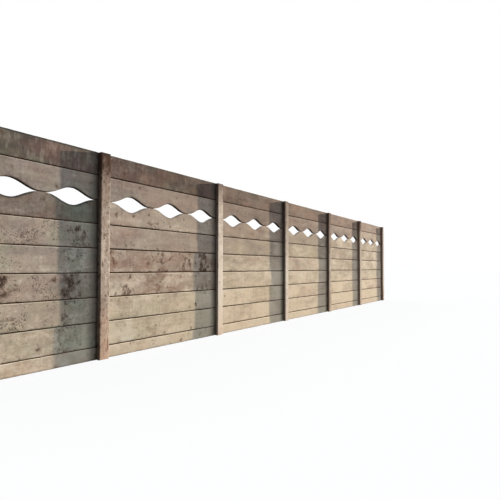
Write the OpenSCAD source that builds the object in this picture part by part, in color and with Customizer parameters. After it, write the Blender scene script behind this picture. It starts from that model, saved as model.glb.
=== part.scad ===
// Precast concrete boundary wall: slotted posts with slabs stacked between them.
// X runs along the wall, Y through it and Z up. The front faces -Y. The origin is
// the middle of the middle post's foot, at ground level.

/* [Run] */
// Number of bays in the run
bays = 6; // [2:2:6]
// Distance from the centre of one post to the next
bay_pitch = 2440; // [1500:10:3000]

/* [Posts] */
// Width of a post, along the wall
post_w = 152; // [130:1:200]
// Depth of a post, through the wall
post_d = 152; // [120:1:200]
// Chamfer on the upright arrises of a post
post_chamfer = 10; // [2:1:16]
// Depth of the slot in each side of a post
slot_depth = 45; // [25:1:55]
// How much a slot opens out from its bottom to its mouth, each side
slot_draft = 3; // [0.5:0.5:6]

/* [Slabs] */
// Thickness of every slab
slab_t = 51; // [40:1:65]
// Height of a plain slab, from one joint to the next
course_h = 305; // [200:1:400]
// Number of plain slabs in a bay, above the ground slab
plain_courses = 5; // [1:1:6]
// Height of the ground slab above ground level
ground_h = 160; // [60:1:300]
// Height of the slab below the openings
lower_wave_h = 295; // [200:1:400]
// Height of the slab above the openings
upper_wave_h = 315; // [200:1:400]
// Height of the slab along the top
top_h = 285; // [150:1:400]
// Bevel along the edges of a slab
slab_bevel = 3; // [1:0.5:6]

/* [Joints between slabs] */
// Height of the open joint between the faces of two slabs
joint_gap = 10; // [3:0.5:14]
// Thickness of the tongue along the top of a slab
tongue_t = 18; // [12:1:22]
// Depth of the groove along the underside of a slab
groove_depth = 10; // [6:0.5:16]

/* [Openings] */
// Number of openings in a bay
waves = 3; // [1:1:4]
// Width of concrete between the tips of two openings
web_w = 83; // [40:1:160]
// Height of half an opening, above or below its middle line
wave_rise = 100; // [50:1:130]
// Flats along one curved edge of an opening
wave_steps = 24; // [12:2:40]

/* [Clearances] */
// Gap between the end of a slab and the bottom of its slot
end_gap = 5; // [1:1:10]
// Gap on each side of a slab at the bottom of its slot
slot_play = 0.3; // [0.1:0.1:2]
// Gap on each side of a tongue in its groove
tongue_play = 2; // [1:0.5:5]
// Gap between the top of a tongue and the groove that rests on it
seat_gap = 0.3; // [0.1:0.1:0.9]

/* [Hidden] */
clear_w = bay_pitch - post_w;
slab_len = clear_w + 2 * (slot_depth - end_gap);
slot_half_w = slab_t / 2 + slot_play;
wave_pitch = clear_w / waves;
wave_len = wave_pitch - web_w;

lower_wave_z = ground_h + plain_courses * course_h;
upper_wave_z = lower_wave_z + lower_wave_h;
top_z = upper_wave_z + upper_wave_h;
wall_h = top_z + top_h;

post_colour = [0.76, 0.69, 0.60];
slab_colour = [0.66, 0.60, 0.52];
top_colour = [0.50, 0.45, 0.42];
ground_colour = [0.58, 0.50, 0.40];

function post_name(n) = str("post_", n);
function bay_name(n, piece) = str("bay_", n, "_", piece);
function post_x(n) = (n - 1 - bays / 2) * bay_pitch;
function bay_x(n) = post_x(n) + bay_pitch / 2;

// Height of an opening's edge above its middle line, at x from its middle
function wave_edge(x) = wave_rise * (1 + cos(360 * x / wave_len)) / 2;
function wave_x(i) = (i / wave_steps - 0.5) * wave_len;

// One quarter of a post's section: its front or back flange on one side
function flange_points(side, face) = [
    [side * (post_w / 2 - slot_depth), face * slot_half_w],
    [side * post_w / 2, face * (slot_half_w + slot_draft)],
    [side * post_w / 2, face * (post_d / 2 - post_chamfer)],
    [side * (post_w / 2 - post_chamfer), face * post_d / 2]
];

function backwards(points) = [for (i = [len(points) - 1:-1:0]) points[i]];

module post(n) {
    color(post_colour)
        translate([post_x(n), 0, 0])
            linear_extrude(wall_h)
                polygon(concat(
                    flange_points(1, 1),
                    backwards(flange_points(-1, 1)),
                    flange_points(-1, -1),
                    backwards(flange_points(1, -1))
                ));
}

// Half of a slab's section on one side of its middle plane, from the bottom up.
// The faces run from the bottom to face_top, and the tongue on to tongue_top.
function half_section(face_top, groove, tongue_top) = concat(
    groove > 0 ? [[0, groove], [tongue_t / 2 + tongue_play, groove]] : [],
    groove > 0 ? [[tongue_t / 2 + tongue_play, 0]] : [[0, 0]],
    [
        [slab_t / 2 - slab_bevel, 0],
        [slab_t / 2, slab_bevel],
        [slab_t / 2, face_top - slab_bevel],
        [slab_t / 2 - slab_bevel, face_top]
    ],
    tongue_top > face_top ? [
        [tongue_t / 2, face_top],
        [tongue_t / 2, tongue_top - slab_bevel],
        [tongue_t / 2 - slab_bevel, tongue_top]
    ] : []
);

function mirrored(points) = [for (p = points) [-p[0], p[1]]];

module slab(h, grooved, tongued) {
    face_top = tongued ? h - joint_gap : h;
    tongue_top = tongued ? h + groove_depth - seat_gap : h;
    side = half_section(face_top, grooved ? groove_depth : 0, tongue_top);
    rotate([90, 0, 90])
        translate([0, 0, -slab_len / 2])
            linear_extrude(slab_len)
                polygon(concat(side, backwards(mirrored(side))));
}

// The openings of one bay, as a row of pointed waves about z = 0
module openings() {
    upper = [for (i = [0:wave_steps]) [wave_x(i), wave_edge(wave_x(i))]];
    lower = [for (i = [wave_steps - 1:-1:1]) [wave_x(i), -wave_edge(wave_x(i))]];
    for (k = [0:waves - 1])
        translate([(k - (waves - 1) / 2) * wave_pitch, slab_t, 0])
            rotate([90, 0, 0])
                linear_extrude(2 * slab_t)
                    polygon(concat(upper, lower));
}

module ground_slab(n) {
    color(ground_colour)
        translate([bay_x(n), 0, 0])
            slab(ground_h, false, true);
}

module plain_slabs(n) {
    color(slab_colour)
        for (i = [0:plain_courses - 1])
            translate([bay_x(n), 0, ground_h + i * course_h])
                slab(course_h, true, true);
}

module lower_wave_slab(n) {
    color(slab_colour)
        translate([bay_x(n), 0, lower_wave_z])
            difference() {
                slab(lower_wave_h, true, false);
                translate([0, 0, lower_wave_h])
                    openings();
            }
}

module upper_wave_slab(n) {
    color(slab_colour)
        translate([bay_x(n), 0, upper_wave_z])
            difference() {
                slab(upper_wave_h, false, true);
                openings();
            }
}

module top_slab(n) {
    color(top_colour)
        translate([bay_x(n), 0, top_z])
            slab(top_h, true, false);
}

for (n = [1:bays + 1]) {
    post(n);
}
for (n = [1:bays]) {
    ground_slab(n);
    plain_slabs(n);
    lower_wave_slab(n);
    upper_wave_slab(n);
    top_slab(n);
}
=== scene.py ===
import math
import random
import bmesh
import bpy
from mathutils import Matrix, Vector, noise


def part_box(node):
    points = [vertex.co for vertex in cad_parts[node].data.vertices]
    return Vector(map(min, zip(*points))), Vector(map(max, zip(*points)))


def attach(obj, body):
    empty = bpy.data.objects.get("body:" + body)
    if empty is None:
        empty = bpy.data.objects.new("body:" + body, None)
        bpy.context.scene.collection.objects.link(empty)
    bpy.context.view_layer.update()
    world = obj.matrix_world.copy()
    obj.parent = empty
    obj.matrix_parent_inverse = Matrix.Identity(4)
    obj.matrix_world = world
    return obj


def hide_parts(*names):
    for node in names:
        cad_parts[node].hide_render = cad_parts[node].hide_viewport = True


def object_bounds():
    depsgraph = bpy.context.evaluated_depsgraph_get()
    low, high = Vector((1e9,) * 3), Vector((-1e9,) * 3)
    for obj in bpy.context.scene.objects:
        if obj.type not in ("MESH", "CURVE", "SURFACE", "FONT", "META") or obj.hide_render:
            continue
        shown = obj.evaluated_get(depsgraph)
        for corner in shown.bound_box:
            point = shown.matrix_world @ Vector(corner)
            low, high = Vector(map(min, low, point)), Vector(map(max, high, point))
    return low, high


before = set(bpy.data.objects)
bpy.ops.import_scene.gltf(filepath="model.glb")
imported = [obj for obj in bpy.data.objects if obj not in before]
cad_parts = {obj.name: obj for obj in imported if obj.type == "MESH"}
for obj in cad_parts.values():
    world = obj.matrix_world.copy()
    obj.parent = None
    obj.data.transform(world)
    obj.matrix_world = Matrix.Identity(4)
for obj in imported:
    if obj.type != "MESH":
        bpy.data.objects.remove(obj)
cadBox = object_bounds()
scene = bpy.context.scene
print("frame loaded:", len(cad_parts), "nodes")

layout = {
    "bays": 6,
    "plainCourses": 5,
    "jointGap": 0.011,  # height of the open joint over a slab
    "tongue": 0.018,  # thickness of the tongue that closes a joint
    "waves": 3,  # openings in a bay
    "waveRise": 0.100,  # half the height of an opening
    "waveWeb": 0.083,  # length of the concrete between two openings
    "webStrip": 0.012,  # how far the joint there runs on into them
    "slotDepth": 0.045,
    "slotHalf": 0.0258,  # half the width of a slot at its bottom
    "slotDraft": 0.003,
    "chamfer": 0.010,  # on the arrises of a post
    "smoothUnder": 14,  # degrees between faces that are shaded as one
}

postLow, postHigh = (Vector(c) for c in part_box("post_1"))
postWidth = postHigh.x - postLow.x
wallTop = postHigh.z
bayPitch = Vector(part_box("post_2")[0]).x - postLow.x
clearWidth = bayPitch - postWidth
wavePitch = clearWidth / layout["waves"]
waveLength = wavePitch - layout["waveWeb"]
leftEnd, rightEnd = cadBox[0][0], cadBox[1][0]


def alongWall(x):  # 0 at the left end of the run, 1 at the right; x is a number or a Wire
    return (x - leftEnd) / (rightEnd - leftEnd)


def waveEdge(x):  # how far an opening's edge stands from its middle line, x from mid bay
    if abs(x) > clearWidth / 2:
        return 0.0
    across = x - wavePitch * round(x / wavePitch)
    if abs(across) > waveLength / 2:
        return 0.0
    return layout["waveRise"] * (1 + math.cos(math.tau * across / waveLength)) / 2


def level(height):  # an edge that keeps one height
    return lambda x: height


def between(low, high, share):
    return low + (high - low) * share


def weighed(fields, weights):  # the fields that the weights name, added up
    return sum(fields[key] * weight for key, weight in weights.items())


def smoothStep(value, start, stop):
    share = min(1.0, max(0.0, (value - start) / (stop - start)))
    return share * share * (3 - 2 * share)


def linear(c):  # one 0-255 display channel as scene-linear light
    c /= 255
    return c / 12.92 if c <= 0.04045 else ((c + 0.055) / 1.055) ** 2.4


def tint(red, green, blue):
    return (linear(red), linear(green), linear(blue), 1.0)


class Wire:  # a socket that Python's operators work on
    def __init__(self, nodes, socket):
        self.nodes = nodes
        self.socket = socket

    def maths(self, operation, first, second=0.0, clamp=False):
        return self.nodes.add("ShaderNodeMath", {"operation": operation, "use_clamp": clamp},
                              {0: first, 1: second})

    def __add__(self, other):
        return self.maths("ADD", self, other)

    def __radd__(self, other):
        return self.maths("ADD", other, self)

    def __sub__(self, other):
        return self.maths("SUBTRACT", self, other)

    def __rsub__(self, other):
        return self.maths("SUBTRACT", other, self)

    def __mul__(self, other):
        return self.maths("MULTIPLY", self, other)

    def __rmul__(self, other):
        return self.maths("MULTIPLY", other, self)

    def __truediv__(self, other):
        return self.maths("DIVIDE", self, other)

    def __rtruediv__(self, other):
        return self.maths("DIVIDE", other, self)

    def clamped(self):
        return self.maths("ADD", self, 0.0, clamp=True)

    def size(self):  # without its sign
        return self.maths("ABSOLUTE", self)

    def ramp(self, start, stop):  # 0 at start, 1 at stop, smooth between
        return self.nodes.add("ShaderNodeMapRange", {"interpolation_type": "SMOOTHSTEP"},
                              {"Value": self, "From Min": start, "From Max": stop})


class Nodes:  # the node tree of a finish or of the world
    def __init__(self, owner):
        owner.use_nodes = True
        self.owner = owner
        self.tree = owner.node_tree
        self.tree.nodes.clear()

    def add(self, kind, settings=None, inputs=None, output=0):
        node = self.tree.nodes.new(kind)
        for key, value in (settings or {}).items():
            if key == "stops":
                self.setStops(node.color_ramp, value)
            else:
                setattr(node, key, value)
        for key, value in (inputs or {}).items():
            if isinstance(value, Wire):
                self.tree.links.new(value.socket, node.inputs[key])
            else:
                node.inputs[key].default_value = value
        return Wire(self, node.outputs[output]) if node.outputs else node

    def setStops(self, colorRamp, stops):
        while len(colorRamp.elements) < len(stops):
            colorRamp.elements.new(0.5)
        for element, (position, colour) in zip(colorRamp.elements, stops):
            element.position = position
            element.color = colour

    def split(self, vector):
        axes = self.add("ShaderNodeSeparateXYZ", inputs={0: vector})
        return [Wire(self, out) for out in axes.socket.node.outputs]

    def attribute(self, name, output="Fac"):
        return self.add("ShaderNodeAttribute", {"attribute_name": name}, output=output)

    def stretched(self, vector, scale):
        return self.add("ShaderNodeMapping", inputs={"Vector": vector, "Scale": scale})

    def clouds(self, vector, scale, detail=3.0, roughness=0.5, distortion=0.0):
        if isinstance(scale, tuple):  # longer one way than another
            vector, scale = self.stretched(vector, scale), 1.0
        return self.add("ShaderNodeTexNoise", inputs={
            "Vector": vector, "Scale": scale, "Detail": detail,
            "Roughness": roughness, "Distortion": distortion})

    def swings(self, vector, look, names):  # clouds of a look by name, each about zero
        return {name: self.clouds(vector, *look["clouds"][name]) - 0.5 for name in names}

    def crumpled(self, vector, scale, reach):  # the vector pushed about by fine noise
        push = self.add("ShaderNodeTexNoise", inputs={"Vector": vector, "Scale": scale},
                        output="Color")
        return self.add("ShaderNodeVectorMath", {"operation": "MULTIPLY_ADD"},
                        {0: push, 1: (reach, reach, reach), 2: vector})

    def dots(self, vector, scale, radius, density):  # round marks, in that share of the cells
        distance = self.add("ShaderNodeTexVoronoi", inputs={"Vector": vector, "Scale": scale})
        chance = Wire(self, distance.socket.node.outputs["Color"])
        luck, girth, fade = self.split(chance)
        chosen = ((density - luck) * 12).clamped()
        reach = (0.4 + girth * 0.9) * radius  # some are small, some large
        crisp = ((reach - distance) * 9).clamped()
        return crisp * chosen * (0.5 + fade * 0.5)  # and some are faint

    def colours(self, value, stops):
        return self.add("ShaderNodeValToRGB", {"stops": stops}, {"Fac": value})

    def blend(self, share, first, second, how="MIX"):
        return self.add("ShaderNodeMix", {"data_type": "RGBA", "blend_type": how},
                        {0: share, 6: first, 7: second}, output=2)

    def concrete(self, look, colour, mottle, bump):
        roughness, swing = look["roughness"]
        depth, strength = look["relief"]
        normal = self.add("ShaderNodeBump", inputs={"Height": bump, "Distance": depth,
                                                    "Strength": strength})
        shader = self.add("ShaderNodeBsdfPrincipled", inputs={
            "Base Color": colour, "Roughness": roughness + mottle * swing,
            "Normal": normal, "Specular IOR Level": look["gloss"]})
        self.add("ShaderNodeOutputMaterial", inputs={"Surface": shader})
        return self.owner


# what a slab's points tell the finish: shares, and how far they are from its foot and head
slabMarks = ("tone", "warmth", "pitted", "blotted", "blushed", "mossy", "limed",
             "streaks", "dirtyRim", "damp", "inJoint", "fromFoot", "fromHead")

slabPaint = {
    "tones": [  # from the most weathered to the palest
        (0.00, tint(84, 71, 64)),
        (0.25, tint(119, 104, 93)),
        (0.50, tint(147, 132, 119)),
        (0.75, tint(172, 155, 136)),
        (1.00, tint(210, 194, 172)),
    ],
    "pink": tint(170, 132, 112),
    "yellow": tint(186, 164, 126),
    "stain": tint(50, 40, 35),
    "smut": tint(96, 73, 62),
    "rust": tint(114, 81, 63),
    "rustDark": tint(84, 52, 38),
    # painted shade colour for the corner beside a post
    "cornerShadeTint": tint(88, 84, 74),
    "cement": tint(216, 206, 190),
    "soil": tint(168, 122, 84),
    "joint": tint(84, 54, 30),
    "moss": tint(104, 115, 97),
    "algae": tint(142, 148, 118),
    "rim": tint(50, 54, 50),
    "ashen": (0.97, 1.01, 1.10, 1.0),  # tints the left end of the run
    "ashenReach": (0.10, 0.42),  # shares of the run between which that fades
    "golden": (1.03, 0.995, 0.955, 1.0),  # tints the lower courses
    "goldenReach": (0.45, 1.35),  # heights between which that fades
    "splashReach": (0.02, 0.26),  # and the splashed soil
    "splashUneven": 0.6,
    # how far from a slab's foot or head these fade and end, how uneven, how strong, their colour
    "edges": {
        "footDirt": (0.003, 0.024, 0.05, 0.32, "stain"),
        "jointDirt": (0.001, 0.006, 0.0, 0.75, "joint"),
        "jointShade": (0.0005, 0.0025, 0.0, 0.55, "stain"),
        "paleHead": (0.002, 0.012, 0.01, 0.26, "cement"),
        "dirtyHead": (0.008, 0.030, 0.02, 0.85, "rim"),
    },
    # scale or stretch of the clouds, then their detail, roughness and distortion
    "clouds": {
        "drift": ((1.3, 3.0, 2.6), 4.0, 0.55, 0.4),
        "mottle": ((7.0, 8.0, 10.0), 5.0, 0.60, 0.3),
        "smears": ((2.2, 5.0, 8.0), 5.0, 0.60, 0.6),
        "speckle": (30.0, 4.0, 0.65),
        "grain": (95.0, 3.0, 0.60),
        "trowel": ((1.3, 6.0, 22.0), 4.0, 0.60),
        "rain": ((25.0, 25.0, 3.0), 4.0, 0.60, 0.2),
        "hue": ((1.8, 3.0, 3.4), 3.0),
        "algae": ((2.6, 4.0, 4.5), 4.0, 0.60, 0.3),
        "runs": ((15.0, 15.0, 5.0), 4.0, 0.60),
        "smoke": ((4.0, 6.0, 9.0), 5.0, 0.62, 0.5),
        "moss": (5.0, 4.0, 0.60),
        "lump": (11.0, 3.0, 0.55),
        "crumb": (42.0, 3.0, 0.65),
        "crumbs": (27.0, 4.0, 0.66),
        "flock": (4.5, 2.0),
        "lime": ((3.0, 3.0, 5.0), 5.0, 0.62, 0.8),
        "splash": (5.0, 5.0, 0.65),
    },
    # how much the clouds lighten and darken a slab, and how much more where it is one of these
    "weights": {
        "all": {"drift": 0.75, "mottle": 0.15, "smears": 0.55, "speckle": 0.30, "grain": 0.30,
                "trowel": 0.20},
        "ashen": {"mottle": 0.45, "smears": -0.55, "speckle": 0.20, "trowel": 0.15, "rain": 0.10},
        "streaky": {"mottle": 0.42, "rain": 1.30},
        # more mottled where green: moss, and the painted contrast of the shade beside a post
        "mossy": {"mottle": 0.60, "rain": 0.50},
    },
    "bumps": {"grain": 0.30, "speckle": 0.35, "mottle": 0.50, "pits": -1.0, "blots": -0.30},
    # values of the clouds between which these go from none to full
    "reaches": {
        "algae": (0.46, 0.66), "runs": (0.48, 0.74), "smoke": (0.38, 0.70), "moss": (0.30, 0.62),
        "halo": (0.61, 0.76), "blots": (0.66, 0.82), "crumb": (0.26, 0.40), "flock": (0.36, 0.62),
        "crumbs": (0.66, 0.76), "lime": (0.60, 0.80), "splash": (0.40, 0.60),
    },
    # what a full mark, or a full lump, adds to those values
    "growth": {"algae": -0.80, "halo": 0.20, "blots": 0.17, "crumb": -0.20, "crumbs": 0.15,
               "lime": 0.20},
    # how strongly they show; of two numbers, the second is where it is ashen, limed or thick
    "strengths": {
        "pink": 0.55, "yellow": 0.50, "algae": (0.08, 0.28), "runs": 0.26, "smoke": 0.60,
        "thick": (0.50, 1.20), "moss": 0.60, "halo": 0.60, "blots": 0.90, "rusty": 0.45,
        "crumbs": 0.70, "pits": 0.60, "lime": (0.26, 0.46), "splash": (0.02, 0.28), "damp": 0.45,
    },
    "hueSpan": 2.0,  # how fast the pink and the yellow come on
    "crumple": (40.0, 0.016),  # scale and reach of what roughens the outline of a mark
    "pits": ((34.0, 0.40, 0.55), (17.0, 0.27, 0.50), (58.0, 0.44, 0.85)),  # scale, radius, how many
    "roughness": (0.88, 0.2),  # middle and swing
    "relief": (0.0022, 0.5),  # depth and strength
    "gloss": 0.02,
}


def slabConcrete():
    look, clouds, weights = slabPaint, slabPaint["clouds"], slabPaint["weights"]
    reach, growth, strength = look["reaches"], look["growth"], look["strengths"]
    mat = Nodes(bpy.data.materials.new("slab_concrete_weathered_painted_shade"))
    cast = mat.attribute("castAt", "Vector")
    (tone, warmth, pitted, blotted, blushed, mossy, limed,
     streaky, dirtyRim, damp, inJoint, fromFoot, fromHead) = (mat.attribute(key) for key in slabMarks)
    x, _, height = mat.split(mat.add("ShaderNodeTexCoord", output="Object"))

    # blotchy near the left end, smeared along the slabs further on
    ashen = 1 - alongWall(x).ramp(*look["ashenReach"])
    swings = mat.swings(cast, look, {**weights["all"], **weights["ashen"]})
    mottle = swings["mottle"]
    value = tone + weighed(swings, weights["all"])
    for key, share in (("ashen", ashen), ("streaky", streaky), ("mossy", mossy)):
        value = value + weighed(swings, weights[key]) * share
    colour = mat.colours(value, look["tones"])

    hue = (mat.clouds(cast, *clouds["hue"]) - 0.5 + warmth) * look["hueSpan"]
    colour = mat.blend(hue.clamped() * strength["pink"], colour, look["pink"])
    colour = mat.blend((0 - hue).clamped() * strength["yellow"], colour, look["yellow"])

    algae = (mat.clouds(cast, *clouds["algae"]) + warmth * growth["algae"]).ramp(*reach["algae"])
    colour = mat.blend(algae * between(*strength["algae"], ashen), colour, look["algae"])
    colour = mat.blend(ashen, colour, look["ashen"], "MULTIPLY")
    colour = mat.blend(1 - height.ramp(*look["goldenReach"]), colour, look["golden"], "MULTIPLY")

    # pale runs of lime down the weathered slabs
    runs = mat.clouds(cast, *clouds["runs"]).ramp(*reach["runs"])
    colour = mat.blend(runs * streaky * strength["runs"], colour, look["cement"])

    # brown and rusty clouds
    smoke = mat.clouds(cast, *clouds["smoke"]).ramp(*reach["smoke"])
    colour = mat.blend(smoke * blushed * strength["smoke"], colour, look["rust"])

    # green of moss, and the painted colour of the shade on the strip beside a post, thickest in patches
    thick = mat.clouds(cast, *clouds["moss"]).ramp(*reach["moss"])
    green = (mossy * between(*strength["thick"], thick)).clamped()
    colour = mat.blend(green * strength["moss"], colour, look["moss"])

    # dark crumbly blots, with a brown halo round them
    crumpledCast = mat.crumpled(cast, *look["crumple"])
    lump = mat.clouds(crumpledCast, *clouds["lump"])
    crumb = mat.clouds(crumpledCast, *clouds["crumb"])
    halo = (lump + blotted * growth["halo"]).ramp(*reach["halo"])
    colour = mat.blend(halo * strength["halo"], colour, look["smut"])
    blots = (lump + blotted * growth["blots"]).ramp(*reach["blots"])
    blots = blots * (crumb + lump * growth["crumb"]).ramp(*reach["crumb"])
    blotColour = mat.blend((blushed * strength["rusty"]).clamped(), look["stain"], look["rustDark"])
    colour = mat.blend(blots * strength["blots"], colour, blotColour)

    # holes left by air in the mould, where they flock
    flock = pitted * mat.clouds(cast, *clouds["flock"]).ramp(*reach["flock"])
    crumbs = mat.clouds(crumpledCast, *clouds["crumbs"]) + flock * growth["crumbs"]
    pits = crumbs.ramp(*reach["crumbs"]) * strength["crumbs"]
    for scale, radius, share in look["pits"]:
        pits = pits + mat.dots(crumpledCast, scale, radius, flock * share)
    pits = pits.clamped()
    colour = mat.blend(pits * strength["pits"], colour, look["stain"])

    # pale cement smears
    smear = (mat.clouds(cast, *clouds["lime"]) + limed * growth["lime"]).ramp(*reach["lime"])
    colour = mat.blend(smear * between(*strength["lime"], limed), colour, look["cement"])

    # dirt above each joint, painted shade along each slab's lower arris, and a pale upper arris, worn
    # and with a painted highlight, or a dirty one
    for key, near, share in (("footDirt", fromFoot, 1), ("jointDirt", fromFoot, 1),
                             ("jointShade", fromFoot, 1), ("paleHead", fromHead, 1 - dirtyRim),
                             ("dirtyHead", fromHead, dirtyRim)):
        start, stop, uneven, strong, paint = look["edges"][key]
        edge = 1 - (near + mottle * uneven).ramp(start, stop)
        colour = mat.blend(edge * share * strong, colour, look[paint])

    # splashed soil near the ground
    splash = 1 - (height + mottle * look["splashUneven"]).ramp(*look["splashReach"])
    splash = splash * mat.clouds(cast, *clouds["splash"]).ramp(*reach["splash"])
    colour = mat.blend(splash * between(*strength["splash"], ashen), colour, look["soil"])

    # painted shade in the corner beside a post, darkest at the post and fading along the slab, with a
    # wider fainter tail
    corner = (damp * (1 + mottle)).clamped()
    colour = mat.blend(corner * strength["damp"], colour, look["cornerShadeTint"])
    colour = mat.blend(corner * corner * strength["damp"], colour, look["stain"])
    colour = mat.blend(inJoint, colour, look["joint"])

    bump = weighed({**swings, "pits": pits, "blots": blots}, look["bumps"])
    return mat.concrete(look, colour, mottle, bump)


# what a post's points tell the finish, as shares
postMarks = ("tone", "warmth", "pitted", "rusty", "dirtyCap", "greyed", "soiled", "worn", "damp")

postPaint = {
    "tones": [
        (0.00, tint(62, 49, 43)),
        (0.12, tint(94, 77, 68)),
        (0.30, tint(128, 110, 99)),
        (0.55, tint(160, 144, 131)),
        (0.80, tint(196, 181, 165)),
        (1.00, tint(220, 207, 191)),
    ],
    "pink": tint(178, 134, 108),
    "stain": tint(62, 48, 42),
    "blot": tint(92, 68, 52),
    "rust": tint(120, 52, 30),
    "paintedSideShade": tint(104, 70, 55),
    "farPaintedSideShade": tint(212, 146, 112),
    "farSideShadeReach": (0.50, 0.85),  # shares of the run between which the painted side shade turns to that
    "cement": tint(226, 214, 196),
    "soil": tint(206, 156, 118),
    "soilReach": (0.10, 0.80),  # heights between which it fades
    "soilUneven": 0.6,
    # shares of the height over which a post gets weathered, dirty, greyed, and less pink
    "weatherReach": (0.50, 0.95),
    "capReach": (0.82, 0.96),
    "greyedReach": (0.50, 0.80),
    "pinkReach": (0.55, 0.95),
    "capUneven": 0.06,
    "rimReach": (0.075, 0.020),  # below the top: the dirt starts, and is full
    "rimUneven": 0.04,
    # how far from its middle it fades and ends, and the heights over which it opens and closes
    "crack": {"post": 2, "x": 0.046, "across": (0.0031, 0.00992), "wander": 0.012,
              "low": (0.10, 0.11), "high": (0.25, 0.27), "uneven": 0.05},
    # scale or stretch of the clouds, then their detail, roughness and distortion
    "clouds": {
        "drift": ((9.0, 9.0, 1.4), 4.0, 0.55, 0.3),
        "mottle": (11.0, 5.0, 0.62, 0.3),
        "speckle": (34.0, 4.0, 0.65),
        "grain": (95.0, 3.0, 0.60),
        "rain": ((30.0, 30.0, 2.5), 4.0, 0.60),
        "hue": (4.0, 3.0),
        "smoke": (14.0, 5.0, 0.65),
        "lump": (17.0, 4.0, 0.60),
    },
    "weights": {"drift": 0.55, "mottle": 0.70, "speckle": 0.55, "grain": 0.30, "rain": 0.35},
    "bumps": {"grain": 0.30, "speckle": 0.35, "mottle": 0.50, "pits": -1.0, "crack": -2.0},
    "reaches": {"smoke": (0.36, 0.60), "blots": (0.655, 0.725)},
    "growth": {"blots": 0.12},  # what a full mark adds to the clouds
    # of two numbers, the second is for the top of a post, or for a mottle of one
    "strengths": {"weather": 0.22, "pink": (0.45, 0.23), "rust": 0.85, "blots": 0.70, "pits": 0.66,
                  "worn": 0.35, "crack": 0.92, "soilPatches": (0.50, 2.0), "soil": 0.50,
                  "paintedSideShade": 0.45},
    "hueSpan": 1.7,  # how fast the pink comes on
    "crumple": (40.0, 0.014),  # scale and reach of what roughens the outline of a mark
    "lumpStretch": (1.4, 1.4, 0.8),
    "pitStretch": (1.0, 1.0, 0.6),
    "pits": (30.0, 0.36, 0.28),  # scale, radius, how many
    "roughness": (0.88, 0.2),  # middle and swing
    "relief": (0.0022, 0.6),  # depth and strength
    "gloss": 0.02,
}


def postConcrete():
    look, clouds, strength = postPaint, postPaint["clouds"], postPaint["strengths"]
    mat = Nodes(bpy.data.materials.new("post_concrete_weathered_painted_shade"))
    cast = mat.attribute("castAt", "Vector")
    (tone, warmth, pitted, rusty, dirtyCap, greyed, soiled, worn, damp) = (
        mat.attribute(key) for key in postMarks)
    x, _, z = mat.split(mat.add("ShaderNodeTexCoord", output="Object"))

    # paler below, weathered and dirty at the top
    swings = mat.swings(cast, look, look["weights"])
    mottle = swings["mottle"]
    upPost = z / wallTop + mottle * look["capUneven"]
    cap = upPost.ramp(*look["capReach"]) * dirtyCap
    weather = upPost.ramp(*look["weatherReach"]) * strength["weather"] + cap
    weather = weather + upPost.ramp(*look["greyedReach"]) * greyed
    colour = mat.colours(tone + weighed(swings, look["weights"]) - weather, look["tones"])
    hue = (mat.clouds(cast, *clouds["hue"]) - 0.5 + warmth) * look["hueSpan"]
    pinkShare = between(*strength["pink"], upPost.ramp(*look["pinkReach"])) * (1 - cap).clamped()
    colour = mat.blend(hue.clamped() * pinkShare, colour, look["pink"])

    # rust, blots, holes left by air, and pale cement on the right-hand arrises: wear, and a painted
    # highlight
    smoke = mat.clouds(cast, *clouds["smoke"]).ramp(*look["reaches"]["smoke"])
    colour = mat.blend(smoke * rusty * strength["rust"], colour, look["rust"])
    crumpledCast = mat.crumpled(cast, *look["crumple"])
    lump = mat.clouds(mat.stretched(crumpledCast, look["lumpStretch"]), *clouds["lump"])
    blots = (lump + pitted * look["growth"]["blots"]).ramp(*look["reaches"]["blots"])
    scale, radius, share = look["pits"]
    pits = mat.dots(mat.stretched(crumpledCast, look["pitStretch"]), scale, radius, pitted * share)
    colour = mat.blend(blots * strength["blots"], colour, look["blot"])
    colour = mat.blend(pits * strength["pits"], colour, look["stain"])
    colour = mat.blend(worn * (strength["worn"] + mottle - cap).clamped(), colour, look["cement"])

    rimFrom, rimTo = look["rimReach"]
    rim = (z + mottle * look["rimUneven"]).ramp(wallTop - rimFrom, wallTop - rimTo) * dirtyCap
    colour = mat.blend(rim.clamped(), colour, look["stain"])

    # a crack up from the foot of one post
    crack = look["crack"]
    crackAt = leftEnd + postWidth / 2 + bayPitch * (crack["post"] - 1) + crack["x"]
    across = (x - crackAt + mottle * crack["wander"]).size()
    upCrack = z + mottle * crack["uneven"]
    split = (1 - across.ramp(*crack["across"])) * upCrack.ramp(*crack["low"])
    split = split * (1 - upCrack.ramp(*crack["high"]))
    colour = mat.blend(split * strength["crack"], colour, look["stain"])

    splash = 1 - (z + mottle * look["soilUneven"]).ramp(*look["soilReach"])
    splash = splash * between(*strength["soilPatches"], mottle).clamped()
    colour = mat.blend(splash * soiled * strength["soil"], colour, look["soil"])

    # painted shade on the left sides, paler along the run
    sideShadeShare = (damp * (1 + mottle)).clamped()
    paintedSideShade = mat.blend(alongWall(x).ramp(*look["farSideShadeReach"]), look["paintedSideShade"], look["farPaintedSideShade"])
    colour = mat.blend(sideShadeShare * strength["paintedSideShade"], colour, paintedSideShade)
    bump = weighed({**swings, "pits": pits, "crack": split}, look["bumps"])
    return mat.concrete(look, colour, mottle, bump)


slabFinish = slabConcrete()
postFinish = postConcrete()
print("finishes made")

slotOf = {"ground_slab": "ground_concrete", "plain_slabs": "slab_concrete",
          "lower_wave_slab": "slab_concrete", "upper_wave_slab": "slab_concrete",
          "top_slab": "top_concrete"}


def pointLayers(bm, marks):
    layers = bm.verts.layers
    made = {key: layers.float.new(key) for key in marks}
    made["castAt"] = layers.float_vector.new("castAt")
    return made


def ofNumber(table, number):  # what a table holds for a bay or a post
    return table.get(number, table["others"])


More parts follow.
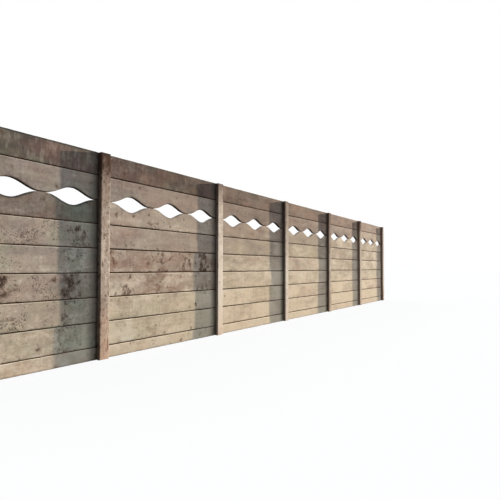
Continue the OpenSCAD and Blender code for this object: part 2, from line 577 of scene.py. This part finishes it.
def place(name, data):  # a mesh, a lamp or the camera into the scene
    thing = bpy.data.objects.new(name, data)
    scene.collection.objects.link(thing)
    return thing


def placeMesh(name, bm, finish):
    mesh = bpy.data.meshes.new(name)
    bm.to_mesh(mesh)
    bm.free()
    mesh.materials.append(finish)
    return place(name, mesh)


def anyShift(draw):
    far = 50  # metres, so that no two castings share a pattern
    return Vector((draw.uniform(-far, far) for _ in range(3)))


def chipAt(spot, look):  # how deep an arris is broken away there
    broken = noise.noise(spot / look["chipSize"]) + look["grit"] * noise.noise(spot / look["gritSize"])
    return look["chipDepth"] * smoothStep(broken, look["chipFrom"], look["chipFull"])


def finishPiece(node, bm, finish):  # the dressed piece stands for the CAD node
    smoothUnder = math.radians(layout["smoothUnder"])
    for edge in bm.edges:
        edge.smooth = len(edge.link_faces) < 2 or edge.calc_face_angle(0.0) < smoothUnder
    for face in bm.faces:
        face.smooth = True
    piece = placeMesh(node + "_cast", bm, finish)
    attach(piece, "root")
    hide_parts(node)
    return piece


slabLook = {
    "seed": 41,
    "column": 0.020,  # between the upright loops of a face
    "row": 0.026,  # between the level ones
    "arris": 0.005,  # worn round of the edges
    "arrisSteps": 2,
    "sharpOver": 60,  # degrees between faces that meet in an arris
    "edgeReach": 1.5,  # in arrises: an edge wanders as far in as here
    "edgeWander": 0.0012,
    "edgeScale": 3.0,
    "chipReach": 1.6,  # and breaks away as far in as here
    "chipDepth": 0.008,
    "chipSlant": 0.7,  # how much of that is up or down
    "chipSize": 0.045,
    "grit": 0.4,  # share of a finer noise in the chips
    "gritSize": 0.018,
    "chipFrom": 0.22,  # noise above this breaks the arris
    "chipFull": 0.75,
    "nibble": 0.0012,  # fine roughness of the arris
    "nibbleScale": 60,
    "faceWander": 0.0004,
    "faceScale": 2.5,
    "outOfPlane": 0.0024,  # how far a slab sits forward or back in its slots
    "outOfPlumb": 0.0016,
    "paintedShadeReach": (0.020, 0.205),  # how far from a post the painted corner shade starts to fade, and where it ends
    "dim": 0.12,  # strength of a wider, fainter painted shade
    "faintShadeReach": (0.0, 0.55),
    "touchRise": 0.010,  # wave slabs no longer touch where the edge of an opening stands so high
    "cleanFoot": {"upper_wave_slab": 0.002},  # and where they do, dirt keeps so far off the joint
    "cleanHead": {"lower_wave_slab": 0.030},
    "stripSeat": 0.002,  # how far the strip in a joint runs into the slabs
    # forward or back in the slots by bay, from the ground slab up, where it shows in the shadows
    "setBacks": {
        1: (0.0035, 0.0035, -0.003, -0.001, 0.0005, 0.0, 0.004, -0.001, 0.0),
        2: (0.0035, -0.001, -0.001, 0.003, 0.0035, -0.004, -0.004, -0.005, -0.003),
        3: (0.002, 0.005, 0.004, -0.002, 0.004, 0.0025, 0.005, 0.005, 0.005),
        4: (0.005, 0.005, 0.005, 0.0, 0.0014, 0.004, 0.003, 0.002, 0.002),
    },
}


def slabBlock(bm, slab):  # loops all over it, and rounded arrises
    lowEdge, highEdge, thickness = slab["lowEdge"], slab["highEdge"], slab["thickness"]
    before = set(bm.verts)
    columns = round(slab["length"] / slabLook["column"])
    rows = round((highEdge(0) - lowEdge(clearWidth / 2)) / slabLook["row"])
    grid = bmesh.ops.create_grid(bm, x_segments=columns, y_segments=rows, size=0.5)
    for v in grid["verts"]:
        x = v.co.x * slab["length"]
        v.co = Vector((x, -thickness / 2, between(lowEdge(x), highEdge(x), v.co.y + 0.5)))
    front = list({f for v in grid["verts"] for f in v.link_faces})
    back = bmesh.ops.extrude_face_region(bm, geom=front)
    backVerts = [g for g in back["geom"] if isinstance(g, bmesh.types.BMVert)]
    bmesh.ops.translate(bm, verts=backVerts, vec=(0, thickness, 0))
    mine = [v for v in bm.verts if v not in before]
    bmesh.ops.recalc_face_normals(bm, faces=list({f for v in mine for f in v.link_faces}))
    sharpOver = math.radians(slabLook["sharpOver"])
    sharp = [e for e in {e for v in mine for e in v.link_edges}
             if len(e.link_faces) == 2 and e.calc_face_angle(0.0) > sharpOver]
    bmesh.ops.bevel(bm, geom=sharp, offset=slabLook["arris"], offset_type="OFFSET",
                    segments=slabLook["arrisSteps"], profile=0.5, affect="EDGES", material=-1)
    return [v for v in bm.verts if v not in before]


def markSlab(v, layers, slab):
    x, y, z = v.co
    v[layers["castAt"]] = v.co + slab["shift"]
    # less dirt gathers where two wave slabs touch
    touching = 1 - smoothStep(waveEdge(x), 0.0, slabLook["touchRise"])
    cleanFoot, cleanHead = (slabLook[key].get(slab["kind"], 0.0) for key in ("cleanFoot", "cleanHead"))
    v[layers["fromFoot"]] = z - slab["lowEdge"](x) + touching * cleanFoot
    v[layers["fromHead"]] = slab["highEdge"](x) - z + touching * cleanHead
    # painted shade on the front face, in the corner beside the bay's right post
    if y < 0:
        fromPost = clearWidth / 2 - x
        faint = slabLook["dim"] * (1 - smoothStep(fromPost, *slabLook["faintShadeReach"]))
        v[layers["damp"]] = 1 - smoothStep(fromPost, *slabLook["paintedShadeReach"]) + faint
    for key in ("streaks", "dirtyRim"):
        v[layers[key]] = slab[key]
    for key in ("tone", "warmth", "pitted", "blotted", "blushed", "mossy", "limed"):
        v[layers[key]] = slab[key] + sum(much * math.exp(-((x - at) / reach) ** 2)
                                         for at, reach, much in slab["marks"].get(key, ()))


def wearSlab(v, slab):
    x, y, z = v.co
    low, high = slab["lowEdge"](x), slab["highEdge"](x)
    upIn, downIn = z - low, high - z
    edgeIn, faceIn = min(upIn, downIn), slab["thickness"] / 2 - abs(y)
    side = math.copysign(1, y)
    inwards = 1 if upIn < downIn else -1
    spot = v.co + slab["shift"]
    # the level edges wander, and break away in places
    if edgeIn < slabLook["arris"] * slabLook["edgeReach"]:
        v.co.z += inwards * slabLook["edgeWander"] * (1 + noise.noise(spot * slabLook["edgeScale"]))
        rim = 1 - min(1.0, (edgeIn + faceIn) / (slabLook["arris"] * slabLook["chipReach"]))
        if rim > 0:
            nibbled = max(0.0, noise.noise(spot * slabLook["nibbleScale"]))
            depth = chipAt(spot, slabLook) * rim + slabLook["nibble"] * nibbled * rim
            v.co.z += inwards * depth * slabLook["chipSlant"]
            v.co.y -= side * depth
    v.co.y += side * slabLook["faceWander"] * (noise.noise(spot * slabLook["faceScale"]) - 1)
    v.co.y += slab["setBack"] + slab["lean"] * (upIn / (high - low) - 0.5)


def closeJoint(bm, layers, slab):  # strips that stand for the tongue, behind the joint over a slab
    height = slab["gap"] + 2 * slabLook["stripSeat"]
    for at, reach in slab["strips"]:
        up = slab["highEdge"](at) + height / 2 - slabLook["stripSeat"]
        where = Matrix.Translation(slab["middle"] + Vector((at, 0, up)))
        sizes = Matrix.Diagonal((reach, layout["tongue"], height, 1))
        strip = bmesh.ops.create_cube(bm, size=1, matrix=where @ sizes)
        for v in strip["verts"]:
            v[layers["castAt"]] = v.co + slab["shift"]
            v[layers["inJoint"]] = 1.0


def castSlab(bm, layers, slab):
    draw = slab["draw"]
    slab["shift"] = anyShift(draw)
    drawnBack = draw.uniform(-1, 1) * slabLook["outOfPlane"]
    slab["setBack"] = drawnBack if slab["setBack"] is None else slab["setBack"]
    slab["lean"] = draw.uniform(-1, 1) * slabLook["outOfPlumb"]
    for v in slabBlock(bm, slab):
        markSlab(v, layers, slab)
        wearSlab(v, slab)
        v.co += slab["middle"]
    closeJoint(bm, layers, slab)


character = {
    "tones": {  # near the left end, near the right end
        "ground_slab": (0.97, 1.24),
        "plainLow": (0.80, 1.02),
        "plainHigh": (0.56, 0.76),
        "lower_wave_slab": (0.42, 0.76),
        "upper_wave_slab": (0.42, 0.50),
        "top_slab": (-0.06, 0.36),
    },
    "palerFrom": 0.05,
    "palerTo": 0.75,
    "gaps": {1: 0.0068, 2: 0.0092},  # joints narrower than the rest
    "cracks": {1: 0.0014, "others": 0.0026},  # worn away where wave slabs meet, each side
    "dirtyRims": {1: 1.0, 2: 0.40, "others": 0.25},
    "streaks": {1: 0.90, 2: 0.25, "others": 0.12},  # down the top slabs
    "fewStreaks": 0.1,  # and down the rest
    "toneSpread": 0.05,
    "warmthSpread": 0.10,
    "pitted": (0.0, 0.08),
    "blotted": (0.0, 0.14),
    "blushed": (0.0, 0.25),
    "cleanFrom": 3,  # bays from here on have that much less of these
    "cleaner": {"pitted": 0.10, "blotted": 0.25},
    "paintedShadeTint": {"warmth": (0.90, 0.22, 0.20), "tone": (0.90, 0.22, 0.05)},  # and marks on plain slabs that paint the shaded strip beside the right post warmer and paler
    "corner": {1: (0.88, 0.24), 2: (0.88, 0.22), 3: (0.90, 0.20), 6: (0.90, 0.20),
               "others": (0.88, 0.20)},  # place and reach of the marks beside a bay's right post, which paint light and shade into the post's cast shadow
}

# slabs that stand out, by bay, kind and course: what they are like all over, in the corner beside the
# right post, where marks paint light and shade into the post's cast shadow, and at other marks (place
# from mid bay, reach, how much); tone and blushed marks from 0.8 on also paint the light and colour of
# that shadow
oddSlabs = {
    (1, "top_slab", 0): {"tone": 0.035, "warmth": 0.04, "blushed": 0.12,
        "marks": {"mossy": [(-0.2, 0.3, 0.4)]}},
    (1, "upper_wave_slab", 0): {"tone": 0.065, "warmth": -0.01, "blotted": 0.0,
        "marks": {"tone": [(-0.12, 0.22, -0.16)], "blushed": [(0.9, 0.18, 0.35)],
            "limed": [(0.78, 0.08, 0.7)]}},
    (1, "lower_wave_slab", 0): {"tone": -0.17, "blushed": 0.5,
        "marks": {"mossy": [(0.9, 0.34, 0.95)], "pitted": [(0.2, 0.3, 0.3)]}},
    (1, "plain_slabs", 4): {"tone": 0.13, "pitted": 0.3, "corner": {"tone": 0.1},
        "marks": {"pitted": [(0.15, 0.25, 0.8), (0.8, 0.22, 1.1)], "blotted": [(0.85, 0.14, 0.7)],
            "mossy": [(0.86, 0.22, 0.45)]}},
    (1, "plain_slabs", 3): {"tone": 0.06, "warmth": 0.01, "pitted": 0.12, "corner": {"tone": 0.14},
        "marks": {"pitted": [(-0.05, 0.15, 0.5), (0.78, 0.16, 0.9)], "blotted": [(0.74, 0.08, 0.5)],
            "mossy": [(0.86, 0.24, 0.55)], "limed": [(0.86, 0.16, 0.8)]}},
    (1, "plain_slabs", 2): {"tone": -0.02, "warmth": 0.0, "pitted": 0.35,
        "marks": {"pitted": [(0.35, 0.3, 0.7)], "blotted": [(-0.06, 0.09, 1.2), (0.74, 0.17, 1.35)],
            "mossy": [(0.9, 0.22, 0.4)], "tone": [(0.9, 0.24, 0.12)]}},
    (1, "plain_slabs", 1): {"tone": -0.03, "warmth": -0.03, "pitted": 0.5, "corner": {"tone": 0.08},
        "marks": {"pitted": [(0.15, 0.4, 0.7), (0.72, 0.12, 0.9)], "blotted": [(0.7, 0.06, 0.8)],
            "mossy": [(0.86, 0.24, 0.55)]}},
    (1, "plain_slabs", 0): {"tone": 0.02, "pitted": 0.15, "corner": {"tone": 0.14},
        "marks": {"pitted": [(0.72, 0.14, 0.9)], "blotted": [(0.66, 0.08, 0.8)],
            "mossy": [(0.86, 0.26, 0.6)], "limed": [(0.56, 0.1, 0.8)]}},
    (1, "ground_slab", 0): {"tone": -0.02, "warmth": -0.04, "corner": {"tone": 0.24},
        "marks": {"mossy": [(0.84, 0.26, 0.4)]}},
    (2, "top_slab", 0): {"tone": -0.03, "warmth": 0.06, "blushed": 0.4},
    (2, "upper_wave_slab", 0): {"tone": 0.04, "warmth": 0.1, "corner": {"tone": 0.14}},
    (2, "lower_wave_slab", 0): {"tone": 0.2, "warmth": 0.08, "pitted": 0.25, "corner": {"tone": 0.17},
        "marks": {"blotted": [(-0.75, 0.3, 0.2), (-0.25, 0.1, 0.25)]}},
    (2, "plain_slabs", 4): {"warmth": 0.08, "blushed": 0.35,
        "marks": {"pitted": [(0.25, 0.15, 0.6)]}},
    (2, "plain_slabs", 3): {"tone": 0.09, "warmth": 0.14, "blushed": 0.75, "corner": {"tone": 0.12},
        "marks": {"blushed": [(-0.2, 0.3, 0.7), (0.4, 0.12, 0.7), (-1.08, 0.12, 0.6)],
            "blotted": [(-1.08, 0.1, 0.4), (-0.15, 0.35, 0.35), (0.42, 0.15, 0.5), (0.8, 0.16, 1.1)],
            "pitted": [(-0.9, 0.3, 0.6)]}},
    (2, "plain_slabs", 2): {"tone": 0.12, "warmth": 0.08, "blushed": 0.45,
        "marks": {"blushed": [(-0.2, 0.4, 0.8)], "blotted": [(-0.85, 0.12, 0.9), (0.78, 0.16, 0.5)]}},
    (2, "plain_slabs", 1): {"tone": 0.07, "warmth": -0.11, "blushed": 0.0,
        "marks": {"blushed": [(0.8, 0.16, 0.3)], "tone": [(1.12, 0.12, 0.3)]}},
    (2, "plain_slabs", 0): {"tone": 0.08, "warmth": -0.14, "blushed": 0.1, "corner": {"tone": 0.08},
        "marks": {"limed": [(-0.8, 0.16, 1.0), (-0.09, 0.05, 0.8)], "tone": [(1.12, 0.12, 0.32)]}},
    (2, "ground_slab", 0): {"tone": 0.02},
    (3, "top_slab", 0): {"tone": 0.02, "warmth": 0.1},
    (3, "upper_wave_slab", 0): {"tone": -0.11, "warmth": 0.1},
    (3, "lower_wave_slab", 0): {"tone": 0.03, "blushed": 0.3, "corner": {"tone": -0.06},
        "marks": {"blushed": [(0.0, 0.3, 0.5)]}},
    (3, "plain_slabs", 4): {"tone": 0.01, "corner": {"tone": 0.14}},
    (3, "plain_slabs", 3): {"tone": 0.14},
    (3, "plain_slabs", 2): {"tone": 0.1, "corner": {"tone": 0.12}},
    (3, "plain_slabs", 1): {"tone": 0.12, "streaks": 0.32, "corner": {"tone": 0.14},
        "marks": {"pitted": [(-0.65, 0.25, 0.9)]}},
    (3, "plain_slabs", 0): {"tone": 0.06, "warmth": -0.06, "streaks": 0.2, "corner": {"tone": -0.1},
        "marks": {"blushed": [(-0.22, 0.12, 0.9)]}},
    (3, "ground_slab", 0): {"tone": 0.26},
    (4, "top_slab", 0): {"tone": -0.1, "warmth": 0.2},
    (4, "upper_wave_slab", 0): {"tone": -0.06, "warmth": 0.14},
    (4, "lower_wave_slab", 0): {"corner": {"tone": 0.14}},
    (4, "plain_slabs", 3): {"tone": 0.06},
    (4, "plain_slabs", 2): {"corner": {"tone": 0.1}},
    (4, "plain_slabs", 1): {"corner": {"tone": -0.14}},
    (4, "plain_slabs", 0): {"tone": -0.02, "corner": {"tone": -0.08}},
    (5, "top_slab", 0): {"tone": -0.11, "warmth": 0.26, "corner": {"tone": 0.12}},
    (5, "upper_wave_slab", 0): {"tone": -0.05, "warmth": 0.16, "corner": {"tone": 0.24}},
    (5, "lower_wave_slab", 0): {"corner": {"warmth": 0.3}},
    (5, "plain_slabs", 3): {"corner": {"tone": 0.14, "blushed": 0.35}},
    (5, "plain_slabs", 2): {"corner": {"tone": 0.24, "blushed": 0.1}},
    (5, "plain_slabs", 1): {"tone": -0.02, "corner": {"tone": 0.16, "blushed": 0.4}},
    (5, "plain_slabs", 0): {"corner": {"tone": 0.2}},
    (5, "ground_slab", 0): {"tone": 0.22},
    (6, "top_slab", 0): {"tone": 0.04, "warmth": 0.24, "corner": {"tone": 0.26}},
    (6, "upper_wave_slab", 0): {"tone": 0.16, "warmth": 0.14, "corner": {"tone": 0.34, "warmth": 0.22}},
    (6, "lower_wave_slab", 0): {"corner": {"tone": 0.26, "warmth": 0.34}},
    (6, "plain_slabs", 4): {"tone": 0.08, "warmth": 0.05},
    (6, "plain_slabs", 3): {"tone": 0.12, "warmth": 0.05},
}


def slabCharacter(kind, course, bay, x, draw):  # the facts of one slab, with what chance adds
    share = smoothStep(alongWall(x), character["palerFrom"], character["palerTo"])
    tones = character["tones"]
    if kind == "plain_slabs":
        up = course / (layout["plainCourses"] - 1)
        tone = between(between(*tones["plainLow"], share), between(*tones["plainHigh"], share), up)
    else:
        tone = between(*tones[kind], share)
    slab = {
        "draw": draw,
        "kind": kind,
        "warmth": draw.uniform(-1, 1) * character["warmthSpread"],
        "pitted": draw.uniform(*character["pitted"]),
        "blotted": draw.uniform(*character["blotted"]),
        "blushed": draw.uniform(*character["blushed"]),
        "streaks": character["fewStreaks"],
        "mossy": 0.0,
        "limed": 0.0,
        "dirtyRim": 0.0,
    }
    odd = dict(oddSlabs.get((bay, kind, course), {}))
    slab["tone"] = tone + odd.pop("tone", draw.uniform(-1, 1) * character["toneSpread"])
    if kind == "top_slab":
        slab["streaks"] = ofNumber(character["streaks"], bay)
    if kind in ("top_slab", "lower_wave_slab"):
        slab["dirtyRim"] = ofNumber(character["dirtyRims"], bay)
    marks = {key: list(spots) for key, spots in odd.pop("marks", {}).items()}
    # corner marks paint light and shade into the cast shadow beside the right post
    for key, much in odd.pop("corner", {}).items():
        marks.setdefault(key, []).append((*ofNumber(character["corner"], bay), much))
    slab.update(odd)
    if bay >= character["cleanFrom"]:
        for key, less in character["cleaner"].items():
            slab[key] -= less
        # plain slabs get painted light: a warmer, paler shaded strip beside the right post
        if kind == "plain_slabs":
            for key, mark in character["paintedShadeTint"].items():
                marks.setdefault(key, []).append(mark)
    slab["marks"] = marks
    return slab


def slabEdges(boxes, gap, crack):  # low and high edge of each slab, as heights at x from mid bay
    groundFoot, plainFoot, lowerFoot, upperFoot, topFoot = (boxes[kind][0].z for kind in slotOf)
    courseHeight = (lowerFoot - plainFoot) / layout["plainCourses"]
    feet = [plainFoot + i * courseHeight for i in range(layout["plainCourses"] + 1)]
    return {
        "ground_slab": [(level(groundFoot), level(plainFoot - gap))],
        "plain_slabs": [(level(foot), level(head - gap)) for foot, head in zip(feet, feet[1:])],
        "lower_wave_slab": [(level(lowerFoot), lambda x: upperFoot - crack - waveEdge(x))],
        "upper_wave_slab": [(lambda x: upperFoot + crack + waveEdge(x), level(topFoot - gap))],
        "top_slab": [(level(topFoot), level(wallTop))],
    }


def jointStrips(kind, length):  # places from mid bay, and lengths, of what closes the joint above
    if kind == "top_slab":
        return []
    if kind == "lower_wave_slab":
        reach = layout["waveWeb"] + 2 * layout["webStrip"]
        return [(wavePitch * (i - layout["waves"] / 2), reach) for i in range(layout["waves"] + 1)]
    return [(0.0, length)]


def dressSlabs(bay):
    draw = random.Random(slabLook["seed"] + bay)
    made = []
    boxes = {kind: [Vector(c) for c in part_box(f"bay_{bay}_{kind}")] for kind in slotOf}
    gap = character["gaps"].get(bay, layout["jointGap"])
    crack = ofNumber(character["cracks"], bay)
    setBacks = iter(slabLook["setBacks"].get(bay, ()))
    for kind, stack in slabEdges(boxes, gap, crack).items():
        low, high = boxes[kind]
        middle = Vector(((low.x + high.x) / 2, (low.y + high.y) / 2, 0))
        bm = bmesh.new()
        layers = pointLayers(bm, slabMarks)
        for course, (lowEdge, highEdge) in enumerate(stack):
            slab = slabCharacter(kind, course, bay, middle.x, draw)
            slab.update(middle=middle, length=high.x - low.x, thickness=high.y - low.y,
                        lowEdge=lowEdge, highEdge=highEdge, setBack=next(setBacks, None),
                        gap=2 * crack if kind == "lower_wave_slab" else gap,
                        strips=jointStrips(kind, high.x - low.x))
            castSlab(bm, layers, slab)
        made.append(finishPiece(f"bay_{bay}_{kind}", bm, slabFinish))
    return made


postLook = {
    "seed": 7,
    "ring": 0.024,  # height between two loops
    "column": 0.024,  # width between two of them
    "topRound": 0.006,
    "roundSteps": 2,
    "lean": {2: -0.012, 4: 0.004},  # along the wall at the top, where a post isn't plumb
    "arrisReach": 1.2,  # the worn part of an arris, in chamfers
    "wander": 0.0009,
    "wanderScale": 9,
    "chipDepth": 0.007,
    "chipSlant": 0.7,  # how much of that goes each way
    "chipSize": 0.05,
    "grit": 0.4,  # share of a finer noise in the chips
    "gritSize": 0.02,
    "chipFrom": 0.25,
    "chipFull": 0.8,
    "unchippedTop": 0.02,
    "marks": {  # by post number
        "tone": {1: 0.60, 2: 0.66, 3: 1.02, 4: 0.93, 5: 0.69, "others": 0.79},
        "warmth": {1: 0.05, 2: 0.06, "others": -0.02},
        "pitted": {1: 0.7, 2: 0.8, "others": 0.25},
        "dirtyCap": {1: 0.50, 2: 0.46, 3: 0.32, 6: 0.38, "others": 0.06},
        "greyed": {3: 0.05, 4: 0.22, 5: 0.05, "others": 0.0},
        "soiled": {1: 1.0, 2: 1.0, 3: 0.75, "others": 0.45},
    },
    # by post number: height, x from its middle, reach, how rusty
    "rust": {2: [(2.51, 0.055, 0.035, 0.45), (0.50, 0.0, 0.20, 0.30), (0.15, -0.02, 0.15, 0.30)],
             3: [(0.06, -0.02, 0.08, 0.35)]},
}


def postSection(width, depth):
    halfWidth, halfDepth = width / 2, depth / 2
    corner = [
        (halfWidth - layout["slotDepth"], layout["slotHalf"]),
        (halfWidth, layout["slotHalf"] + layout["slotDraft"]),
        (halfWidth, halfDepth - layout["chamfer"]),
        (halfWidth - layout["chamfer"], halfDepth),
    ]
    rightBack = corner
    leftBack = [(-x, y) for x, y in reversed(corner)]
    leftFront = [(-x, -y) for x, y in corner]
    rightFront = [(x, -y) for x, y in reversed(corner)]
    return rightBack + leftBack + leftFront + rightFront


def postBlock(bm, width, depth, height):  # the section run up to a rounded top, with loops
    hair = 0.0005  # nearer than this counts as the same place
    foot = bm.faces.new([bm.verts.new((x, y, 0)) for x, y in postSection(width, depth)])
    top = bmesh.ops.extrude_face_region(bm, geom=[foot])
    topVerts = [g for g in top["geom"] if isinstance(g, bmesh.types.BMVert)]
    bmesh.ops.translate(bm, verts=topVerts, vec=(0, 0, height))
    bmesh.ops.recalc_face_normals(bm, faces=bm.faces[:])
    topEdges = [e for e in bm.edges if all(v.co.z > height - hair for v in e.verts)]
    bmesh.ops.bevel(bm, geom=topEdges, offset=postLook["topRound"], segments=postLook["roundSteps"],
                    profile=0.5, affect="EDGES", material=-1)
    uprights = [e for e in bm.edges if abs(e.verts[0].co.z - e.verts[1].co.z) > height / 2]
    bmesh.ops.subdivide_edges(bm, edges=uprights, cuts=round(height / postLook["ring"]),
                              use_grid_fill=True)
    # upright cuts between the slots and through the faces beside them
    columns = round(width / postLook["column"])
    for step in range(1, columns):
        at = between(-width / 2, width / 2, step / columns)
        bmesh.ops.bisect_plane(bm, geom=bm.verts[:] + bm.edges[:] + bm.faces[:],
                               plane_co=(at, 0, 0), plane_no=(1, 0, 0), dist=hair)


def dressPost(number):
    node = f"post_{number}"
    low, high = (Vector(c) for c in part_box(node))
    shift = anyShift(random.Random(postLook["seed"] + number))
    middle = Vector(((low.x + high.x) / 2, (low.y + high.y) / 2, 0))
    height = high.z - low.z
    halfWidth, halfDepth = (high.x - low.x) / 2, (high.y - low.y) / 2
    bm = bmesh.new()
    layers = pointLayers(bm, postMarks)
    postBlock(bm, 2 * halfWidth, 2 * halfDepth, height)
    hair = 0.001  # nearer than this counts as on the face
    arrisReach = layout["chamfer"] * postLook["arrisReach"]
    marks = {key: ofNumber(table, number) for key, table in postLook["marks"].items()}
    for v in bm.verts:
        x, y, z = v.co
        spot = v.co + shift
        arrisIn = halfWidth - abs(x) + halfDepth - abs(y)
        v[layers["castAt"]] = spot
        for key, much in marks.items():
            v[layers[key]] = much
        # pale right-hand arrises, towards the light: wear, and a painted highlight
        v[layers["worn"]] = 1.0 if arrisIn < arrisReach and x > 0 else 0.0
        # painted shade on the left sides, away from the light
        v[layers["damp"]] = 1.0 if x < hair - halfWidth and abs(y) < halfDepth - hair else 0.0
        v[layers["rusty"]] = sum(
            much * math.exp(-((z - at) / reach) ** 2 - ((x - across) / reach) ** 2)
            for at, across, reach, much in postLook["rust"].get(number, ()))
        v.co.x += postLook["lean"].get(number, 0.0) * z / height
        if arrisIn < arrisReach and hair < z < height - postLook["unchippedTop"]:
            depth = chipAt(spot, postLook)
            depth += postLook["wander"] * (1 + noise.noise(spot * postLook["wanderScale"]))
            v.co.x -= math.copysign(depth, x) * postLook["chipSlant"]
            v.co.y -= math.copysign(depth, y) * postLook["chipSlant"]
        v.co += middle
    return finishPiece(node, bm, postFinish)


slabPieces = [piece for bay in range(1, layout["bays"] + 1) for piece in dressSlabs(bay)]
print("slabs cast:", len(slabPieces))
postPieces = [dressPost(number) for number in range(1, layout["bays"] + 2)]
print("posts cast:", len(postPieces))

# the CAD nodes behind the dressed pieces get the finishes too
cadFinishes = {"post": postFinish, "bay": slabFinish}
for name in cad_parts:
    node = bpy.data.objects.get(name)
    if node is None:
        continue
    for slot in node.material_slots:
        slot.material = cadFinishes[name.split("_")[0]]

floorLook = {
    "size": 600.0,
    "seen": (1.0, 1.0, 1.0, 1.0),  # colour that the camera sees
    "thrown": (0.28, 0.27, 0.26, 1.0),  # colour of the light it throws on the wall
    "white": 0.90,  # how much of what the camera sees is plain white
}


def makeFloor():
    mat = Nodes(bpy.data.materials.new("studio_floor"))
    seen = mat.add("ShaderNodeLightPath", output="Is Camera Ray")
    paint = mat.blend(seen, floorLook["thrown"], floorLook["seen"])
    plain = mat.add("ShaderNodeBsdfDiffuse", inputs={"Color": paint})
    white = mat.add("ShaderNodeEmission", inputs={"Color": (1, 1, 1, 1), "Strength": 1.0})
    mixed = mat.add("ShaderNodeMixShader", inputs={0: seen * floorLook["white"], 1: plain, 2: white})
    mat.add("ShaderNodeOutputMaterial", inputs={"Surface": mixed})
    bm = bmesh.new()
    bmesh.ops.create_grid(bm, x_segments=1, y_segments=1, size=floorLook["size"] / 2)
    placeMesh("studio_floor", bm, mat.owner)


makeFloor()

worldLook = {"light": 0.11, "colour": (0.89, 1.0, 1.11, 1.0)}  # the camera sees white instead


def makeWorld():
    world = bpy.data.worlds.new("studio")
    scene.world = world
    sky = Nodes(world)
    seen = sky.add("ShaderNodeLightPath", output="Is Camera Ray")
    around = sky.add("ShaderNodeBackground", inputs={"Color": worldLook["colour"],
                                                     "Strength": worldLook["light"]})
    backdrop = sky.add("ShaderNodeBackground", inputs={"Color": (1, 1, 1, 1), "Strength": 1.0})
    mixed = sky.add("ShaderNodeMixShader", inputs={0: seen, 1: around, 2: backdrop})
    sky.add("ShaderNodeOutputWorld", inputs={"Surface": mixed})


makeWorld()

lamps = {
    # azimuth from the wall's length towards the front, height above the floor, in degrees
    "low_sun": {"azimuth": 5.1, "height": 10.4, "energy": 16.9, "spread": 0.6,
                "colour": (1.0, 0.86, 0.68), "onto": "slabs"},
    "post_sun": {"azimuth": 38.0, "height": 22.0, "energy": 2.9, "spread": 6.0,
                 "colour": (1.0, 0.86, 0.68), "onto": "posts"},
    "big_soft_box": {"azimuth": 42.0, "height": 35.0, "energy": 2.5, "spread": 50.0,
                     "colour": (0.89, 1.0, 1.11), "onto": None},
    "back_soft_box": {"azimuth": -90.0, "height": 35.0, "energy": 2.2, "spread": 90.0,
                      "colour": (1.0, 1.0, 1.0), "onto": None},
    "left_soft_box": {"azimuth": 180.0, "height": 30.0, "energy": 2.2, "spread": 60.0,
                      "colour": (1.0, 1.0, 1.0), "onto": "left end"},
}
receivers = {"slabs": slabPieces, "posts": postPieces, "left end": postPieces[:1]}
lampsAway = 20.0  # out of the way: only a sun's direction counts


def makeLamp(name, look):
    data = bpy.data.lights.new(name, "SUN")
    data.energy = look["energy"]
    data.angle = math.radians(look["spread"])
    data.color = look["colour"]
    lamp = place(name, data)
    turn, up = math.radians(look["azimuth"]), math.radians(look["height"])
    towards = Vector((math.cos(up) * math.cos(turn), -math.cos(up) * math.sin(turn), math.sin(up)))
    lamp.location = towards * lampsAway
    lamp.rotation_mode = "QUATERNION"
    lamp.rotation_quaternion = towards.to_track_quat("Z", "Y")
    if look["onto"]:
        lit = bpy.data.collections.new(name + "_lights")
        for piece in receivers[look["onto"]]:
            lit.objects.link(piece)
        lamp.light_linking.receiver_collection = lit


for name, look in lamps.items():
    makeLamp(name, look)

cameraLook = {
    "place": (-8.7015, -4.6188, 1.1413),
    "lens": 32.56,
    "sensor": 36.0,
    "turn": 32.252,  # degrees from the wall's length towards it
    "tilt": 2.224,
    "roll": 0.088,
}


def makeCamera():
    data = bpy.data.cameras.new("camera")
    data.lens, data.sensor_width = cameraLook["lens"], cameraLook["sensor"]
    data.clip_end = floorLook["size"]
    camera = place("camera", data)
    turn, tilt, roll = (math.radians(cameraLook[key]) for key in ("turn", "tilt", "roll"))
    ahead = Vector((math.cos(turn) * math.cos(tilt), math.sin(turn) * math.cos(tilt), math.sin(tilt)))
    across = Vector((math.sin(turn), -math.cos(turn), 0))
    over = across.cross(ahead)
    right = across * math.cos(roll) + over * math.sin(roll)
    up = over * math.cos(roll) - across * math.sin(roll)
    facing = Matrix((right, up, -ahead)).transposed().to_4x4()
    camera.matrix_world = Matrix.Translation(cameraLook["place"]) @ facing
    scene.camera = camera


makeCamera()
scene.view_settings.view_transform = "Standard"
print("stage set")
